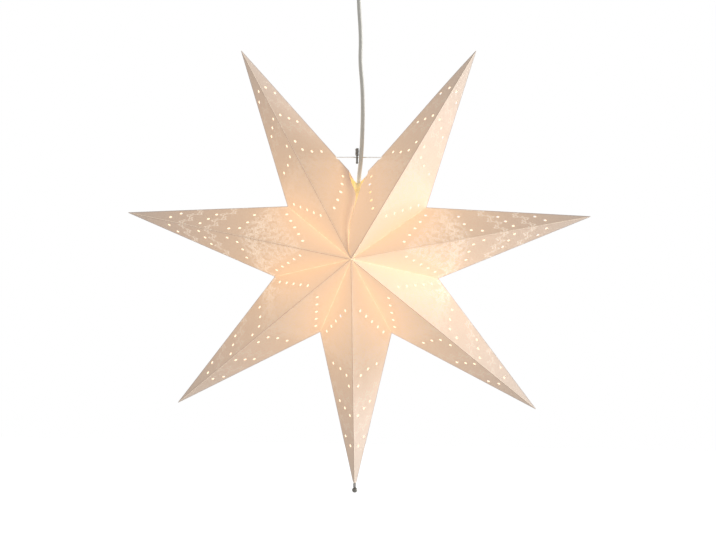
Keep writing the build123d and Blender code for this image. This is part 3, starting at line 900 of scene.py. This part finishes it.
# %% One function for all small finishes
def fine_finish(name, colour, clouded, grain, depth=0.02 * mm, **constants):
    """A colour with clouds of another, and a grain of some cells a metre in its gloss and relief."""
    made = Finish(name, **constants)
    place = made.place()
    clouds = place.wobble(grain * 0.15, 3.0)
    fine = place.wobble(grain, 4.0, 0.6)
    made.link("Base Color", made.colour(*colour).patches(clouds, 0.35, 0.7, 0.6, (*clouded, 1)))
    gloss = constants["Roughness"]
    made.link("Roughness", fine.ramp(0.2, 0.8, gloss * 0.8, gloss * 1.2))
    made.relief(fine, depth)
    return made.material


def metal_finish(name, colour, clouded, grain, roughness):
    return fine_finish(name, colour, clouded, grain, 0.01 * mm, Roughness=roughness, Metallic=1.0)


finishes = {
    "white_plastic": fine_finish("white_plastic", (0.82, 0.82, 0.80), (0.77, 0.77, 0.75), 1500.0,
                                 Roughness=0.40),
    "flex": fine_finish("sheath", (0.93, 0.93, 0.86), (0.88, 0.88, 0.80), 1200.0, Roughness=0.42),
    "sleeve": fine_finish("sleeve", (0.70, 0.69, 0.66), (0.60, 0.59, 0.56), 1500.0, Roughness=0.55),
    "steel": metal_finish("bright_wire", (0.74, 0.74, 0.73), (0.58, 0.58, 0.58), 2500.0, 0.32),
    "dark_steel": metal_finish("dark_steel", (0.16, 0.155, 0.14), (0.09, 0.09, 0.085), 2500.0, 0.36),
    "zinc": metal_finish("zinc", (0.66, 0.66, 0.68), (0.52, 0.53, 0.56), 900.0, 0.38),
    "brass": metal_finish("brass", (0.72, 0.52, 0.22), (0.55, 0.38, 0.16), 1500.0, 0.34),
    "ceramic": fine_finish("ceramic", (0.82, 0.79, 0.72), (0.74, 0.71, 0.64), 900.0, Roughness=0.24,
                           Coat_Weight=0.4),
    "core": fine_finish("core", (0.22, 0.10, 0.06), (0.14, 0.06, 0.04), 1500.0, Roughness=0.4),
    "glass": fine_finish("glass", (0.97, 0.96, 0.92), (0.95, 0.93, 0.88), 300.0, 0.004 * mm,
                         Roughness=0.05, Transmission_Weight=1.0, IOR=1.45),
    "filament": fine_finish("filament", (1.0, 0.75, 0.35), (1.0, 0.7, 0.3), 1500.0, Roughness=0.5,
                            Emission_Color=(1.0, 0.72, 0.36, 1), Emission_Strength=6.0),
}
# The holder's plastic is white. Here it gets a yellow colour and a faint glow, as painted light of the bulb
# on it.
bulb_lit_plastic = fine_finish("bulb_lit_plastic", (0.80, 0.70, 0.45), (0.76, 0.66, 0.41), 1500.0,
                           Roughness=0.45, Emission_Color=(0.85, 0.60, 0.20, 1), Emission_Strength=0.15)
coil_steel = metal_finish("coil_steel", (0.30, 0.29, 0.27), (0.16, 0.155, 0.15), 2500.0, 0.40)
cord.data.materials.append(finishes["flex"])
print("small finishes:", ", ".join(finishes))


def small_piece(piece, body, slot, *nodes, angle=35):
    """Settles a small piece, gives it its slot's finish and lets it stand for its part."""
    settle(piece, angle)
    piece.data.materials.clear()
    piece.data.materials.append(finishes[slot])
    return install(piece, body, slot, *nodes)


# %% [markdown]
# ## The lowest tip
#
# The lowest point ends in a small grey-white sleeve that the card is pushed into, and below it hangs a
# dark steel ball on a thin stem, a plumb weight that keeps the star upright.

# %% Sleeve and ball
low_tip = tip(lowest_point)
ball_radius = 4.0
ball_middle = low_tip - Vector((0, 0, 1 * mm))
sleeve_low = ball_radius
sleeve_outline = [(0.85, sleeve_low), (2.0, sleeve_low), (2.4, sleeve_low + 0.5), (2.4, sleeve_low + 5.6),
                  (2.25, sleeve_low + 6.3), (1.8, sleeve_low + 7.2), (0.85, sleeve_low + 7.2)]
small_piece(turned("card_sleeve", sleeve_outline, ball_middle, 32), "star_tip", "sleeve", "tip_sleeve")

ball_outline = arc(ball_radius, 0, 0, -90, 74, 20)
ball_outline += [(0.8, ball_radius + 0.2), (0.8, ball_radius + 7.0), (0.6, ball_radius + 7.2),
                 (pole, ball_radius + 7.2)]
small_piece(turned("steel_ball", ball_outline, ball_middle, 32), "star_tip", "dark_steel", "tip_ball")
print("ball's middle at", ball_middle)

# %% [markdown]
# ## The hanger
#
# A bright wire runs level behind the cord, from the outer crease of one upper point to that of the
# other. An upright coil of darker wire is wound on a thin pin beside the cord, and a bead ends the pin
# below. The coil comes from a Screw modifier, which turns a small circle round and lifts it as it goes.

# %% The level wire
coil_middle_x = -0.14 * mm
cord_at_wire_x = 5.86 * mm
wire_end = 7 * mm
wire_fall = math.radians(9)
behind = 3.8 * mm
wire_height = centre.z + hanger_height


def bent_crease(sign):
    """Where the wire meets the outer crease after the seam's sheets were bent."""
    return crease_at_wire(sign) + Vector((flare(sign, hanger_height / seam_corner.z), 0, 0))


def wire_tip(sign):
    run = Vector((sign * math.cos(wire_fall), 0, -math.sin(wire_fall)))
    return bent_crease(sign) + run * wire_end


def half_wire(sign, middle):
    """One half of the wire: from beside the cord, round behind it, out to the crease and its end."""
    bends = [(2 * mm, behind), (8 * mm, 0.6 * mm), (12 * mm, 0)]
    crease = bent_crease(sign)
    return [Vector((middle + sign * out, back, wire_height)) for out, back in bends] + [
        crease - Vector((sign * 3 * mm, 0, 0)), crease + Vector((sign * 2 * mm, 0, -0.3 * mm)),
        wire_tip(sign)]


wire_points = half_wire(-1, coil_middle_x)[::-1] + half_wire(1, cord_at_wire_x)
small_piece(bent_wire("level_wire", wire_points, wire_diameter), "lamp", "steel", "hanger_wire")

# %% The coil and its pin
coil_turns = 5
coil_pitch = 2.0 * mm
coil_wire = 1.2 * mm
coil_radius = 2.4 * mm
coil_low = wire_height + 2.5 * mm
pick()
bpy.ops.mesh.primitive_circle_add(vertices=12, radius=coil_wire / 2, fill_type="NOTHING",
                                  location=(coil_radius, 0, 0), rotation=(math.radians(90), 0, 0))
coil = new_piece("wire_coil")
bpy.ops.object.transform_apply(location=True, rotation=True, scale=True)
finish_with(coil, "SCREW", axis="Z", angle=math.tau, screw_offset=coil_pitch, iterations=coil_turns,
            steps=28, render_steps=28)
edit(coil)
bpy.ops.mesh.fill_holes(sides=0)
bpy.ops.mesh.normals_make_consistent(inside=False)
bpy.ops.transform.translate(value=(coil_middle_x, 0, coil_low))
done()
small_piece(coil, "lamp", "steel", "hanger_coil")
coil.data.materials[0] = coil_steel

pin_outline = arc(1.8, 0, -8, -90, 50, 10)
pin_outline += [(1.2, -6.2), (1.7, -5.4), (1.2, -4.6), (1.7, -3.8), (1.2, -3.0), (1.7, -2.2), (1.2, -1.4)]
pin_outline += [(1.35, -0.9), (1.35, 0.9), (0.9, 1.2), (1.6, 2.0), (1.6, 13.2), (1.2, 13.5), (pole, 13.5)]
small_piece(turned("coil_pin", pin_outline, Vector((coil_middle_x, 0, wire_height)), 24),
            "lamp", "dark_steel", "hanger_pin")
print("the coil stands from", round(coil_low, 4), "up")

# %% [markdown]
# ## The lamp holder and the bulb
#
# The holder hangs in the open end of the seam: a small gland that grips the cord, a domed cap and a
# round body. Its rings and ribs are moulded. Below it the bulb's globe is in the middle of the star.

# %% Gland, cap and body
lamp_axis = centre + Vector((2.5 * mm, 0, 0))
gland_outline = [(3.15, 97), (6.1, 97), (6.4, 97.4), (6.4, 99.0), (6.0, 99.4), (6.0, 100.4), (6.4, 100.8),
                 (6.4, 106.6), (6.15, 107.4), (5.4, 108), (3.6, 108), (3.15, 107.6)]
cap_outline = [(3.15, 97), (7.2, 97), (7.5, 96.6)] + arc(6.5, 7.5, 90.1, 90, 20, 8)[1:]
cap_outline += [(13.75, 89.6), (14, 87.6), (14, 82.2), (13.7, 81.9), (13.7, 80.2), (12.4, 80.2),
                (12.4, 87.6), (7.0, 95.4), (3.15, 95.4)]
body_outline = [(12.4, 34), (13.2, 34)] + arc(0.8, 13.2, 34.8, -90, 0, 4)[1:]
for rib in range(6):
    rib_low = 44 + 4 * rib
    body_outline += [(14, rib_low), (13.7, rib_low + 0.3), (13.7, rib_low + 1.1), (14, rib_low + 1.4)]
body_outline += [(14, 79.5), (13.8, 79.8), (12.4, 79.8)]
for name, outline, node in (("cord_gland", gland_outline, "holder_gland"),
                            ("domed_cap", cap_outline, "holder_cap"),
                            ("ribbed_body", body_outline, "holder_body")):
    part = small_piece(turned(name, outline, lamp_axis), "lamp", "white_plastic", node)
    # Painted light: the holder's parts take the plastic that shows the bulb's light.
    part.data.materials[0] = bulb_lit_plastic

# %% The bulb's glass
globe_radius = 22.5
glass_wall = 0.9
neck_radius = 6.25
neck_top = 40.7
globe_middle = 3.5
neck_angle = math.degrees(math.acos(neck_radius * 1.18 / globe_radius))
glass_outline = arc(globe_radius, 0, globe_middle, -90, neck_angle, 30)
glass_outline += [(neck_radius + 0.35, 26.8), (neck_radius, 29), (neck_radius, neck_top),
                  (neck_radius - glass_wall, neck_top), (neck_radius - glass_wall, 29),
                  (neck_radius - 0.5, 26.6)]
glass_outline += arc(globe_radius - glass_wall, 0, globe_middle, neck_angle - 1, -90, 30)
small_piece(turned("glass_globe", glass_outline, lamp_axis, 64), "bulb", "glass", "bulb_glass")
print("glass rings:", len(glass_outline))

# %% [markdown]
# ## The ceiling fitting
#
# A white cup covers the bracket and the terminals on the ceiling. The cord comes out through a grip in
# its floor, and a ribbed nut holds the ball of the strain relief, so that the pendant can swing. The
# ribs are made by hand: every second column of side faces is picked and sunk a little.

# %% The cup
canopy_outline = [(48, 0), (48, -1.6), (47.5, -2.0), (47.5, -2.8), (47.68, -3.2)]
canopy_outline += [(42.6, -50.2)] + arc(6.0, 36.6, -50.0, 0, -90, 8)[1:]
canopy_outline += [(12.5, -56), (12.2, -55.7), (11.6, -55.7), (11.3, -56), (5.2, -56), (5.2, -53.8)]
canopy_outline += [(36, -53.8)] + arc(3.8, 36.2, -50.0, -90, 0, 6)[1:] + [(45.8, 0)]
canopy = turned("ceiling_cup", canopy_outline, Vector(), 96)
side_screw_height = -12 * mm
side_hole_diameter = 4.4 * mm
drill_length = 110 * mm
drill(canopy, (0, 0, side_screw_height), side_hole_diameter, drill_length)
small_piece(canopy, "ceiling_fitting", "white_plastic", "canopy_cup", angle=30)

# %% The grip, its nut and the strain relief
grip_outline = [(3.25, -62), (8.6, -62), (9, -61.6), (9, -56.5), (8.7, -56.05), (5, -56.05), (5, -47.2),
                (4.8, -47), (3.25, -47)]
small_piece(turned("screw_grip", grip_outline, Vector()), "ceiling_fitting", "white_plastic", "cord_grip")

pivot_height = -72.0
seat_radius = 6.3
seat_low = math.degrees(math.asin((-75.2 - pivot_height) / seat_radius))
seat_top = math.degrees(math.acos(3.25 / seat_radius))
nut_outline = [(6.1, -75.2), (6.3, -75.2), (8.2, -72.4), (8.4, -72.0), (8.4, -62.6), (8.1, -62.05),
               (3.25, -62.05)]
nut_outline += arc(seat_radius, 0, pivot_height, seat_top, seat_low, 16)
nut = turned("ribbed_nut", nut_outline, Vector(), 48)
rib_sink = 0.35 * mm


def sunk_column(place, normal):
    column = math.floor(math.degrees(math.atan2(place.y, place.x)) % 360 / 7.5)
    outer = math.hypot(place.x, place.y) > 8.3 * mm
    return outer and abs(normal.z) < 0.1 and column % 2 == 0


edit(nut, sunk_column)
bpy.ops.mesh.extrude_region_shrink_fatten(TRANSFORM_OT_shrink_fatten={"value": -rib_sink})
done()
small_piece(nut, "ceiling_fitting", "white_plastic", "grip_nut", angle=25)

relief_outline = [(3.25, -96), (3.6, -96), (3.85, -95.7)]
for groove in range(6):
    low = -94.6 + 2.6 * groove
    wide = 3.85 + 0.07 * groove
    deep = wide - 0.75
    relief_outline += [(wide, low), (deep, low + 0.25), (deep, low + 1.05), (wide, low + 1.3)]
ball_radius_up = 6.2
relief_outline += [(4.4, -78.6)] + arc(ball_radius_up, 0, pivot_height, -44, 50, 16)
relief_outline += [(4.2, -67.2), (3.27, -72.0)]
small_piece(turned("grooved_relief", relief_outline, Vector()), "relief_sleeve", "white_plastic",
            "strain_relief")
print("the relief sleeve is", len(relief_outline), "rings")

# %% [markdown]
# ## Parts of the frame that are already right
#
# The bracket, screws, terminals, contacts and the bulb's base have the shape of the real ones. They stay
# as they are and get the finish that the record names for them.

# %% Finish the frame's own parts
slot_of = {row["node"]: row["material_slot"] for row in frame["record"]["subparts"]}
for name, part in frame["nodes"].items():
    if not part.hide_render:
        part.data.materials.clear()
        part.data.materials.append(finishes[slot_of[name]])
print("kept from the frame:", sum(not part.hide_render for part in frame["nodes"].values()))

# %% [markdown]
# ## Studio light
#
# The key light stands on the right and a little behind the star, so that every right-facing half is
# bright and the left-facing ones are in shade. A weaker, larger light from above on the left lifts the
# upward faces, and the room adds a pale light from all sides. What the camera, mirrors and glass see of
# the room is white.

# %% Lamps
lamp_colour = (1.0, 0.985, 0.97)


def soft_lamp(name, azimuth, elevation, distance, size, energy):
    """A round area lamp that looks at the star."""
    lamp = put_in_scene(name, bpy.data.lights.new(name, "AREA"))
    lamp.data.shape = "DISK"
    lamp.data.size = size
    lamp.data.energy = energy
    lamp.data.color = lamp_colour
    way = way_from_star(azimuth, elevation)
    lamp.location = centre + way * distance
    lamp.rotation_euler = way.to_track_quat("Z", "Y").to_euler()


soft_lamp("key", azimuth=104, elevation=3, distance=6.0, size=3.0, energy=245)
soft_lamp("upper_fill", azimuth=-45, elevation=60, distance=3.0, size=2.0, energy=7)

room_light = 0.27
world = bpy.data.worlds.new("room")
bpy.context.scene.world = world
world.use_nodes = True
room = Wire(world.node_tree)


def seen_directly(wire):
    """1 for what the camera, a mirror or glass sees, and 0 for light that falls on things."""
    rays = [wire.node("ShaderNodeLightPath", output=output) for output in (0, 3, 6)]
    return rays[0].either(rays[1]).either(rays[2])


background = world.node_tree.nodes["Background"]
background.inputs["Color"].default_value = (1, 1, 1, 1)
strength = seen_directly(room) * (1 - room_light) + room_light
world.node_tree.links.new(strength.socket, background.inputs["Strength"])
print("room light", room_light)

# %% [markdown]
# The floor is far below the star and pale. Seen directly it is lifted towards white, and it still shows
# the shade of what hangs above it.

# %% The floor
floor_drop = 1.9
floor_size = 12
floor_lift = 0.85
pick()
bpy.ops.mesh.primitive_plane_add(size=floor_size, location=(0, 0, -floor_drop))
floor = new_piece("floor")
floor_finish = Finish("pale_floor", Roughness=0.9)
floor_cloud = floor_finish.place().wobble(3.0)
floor_colour = floor_finish.colour(0.90, 0.90, 0.90)
floor_finish.link("Base Color", floor_colour.patches(floor_cloud, 0.3, 0.7, 0.3, (0.88, 0.88, 0.88, 1)))
floor_finish.shader.inputs["Emission Color"].default_value = (1, 1, 1, 1)
floor_finish.link("Emission Strength", seen_directly(floor_finish.wire) * floor_lift)
floor.data.materials.append(floor_finish.material)
print("floor at", -floor_drop)

# %% [markdown]
# ## Colours as written
#
# The Standard view shows a colour as it is written.

# %% The end
bpy.context.scene.view_settings.view_transform = "Standard"
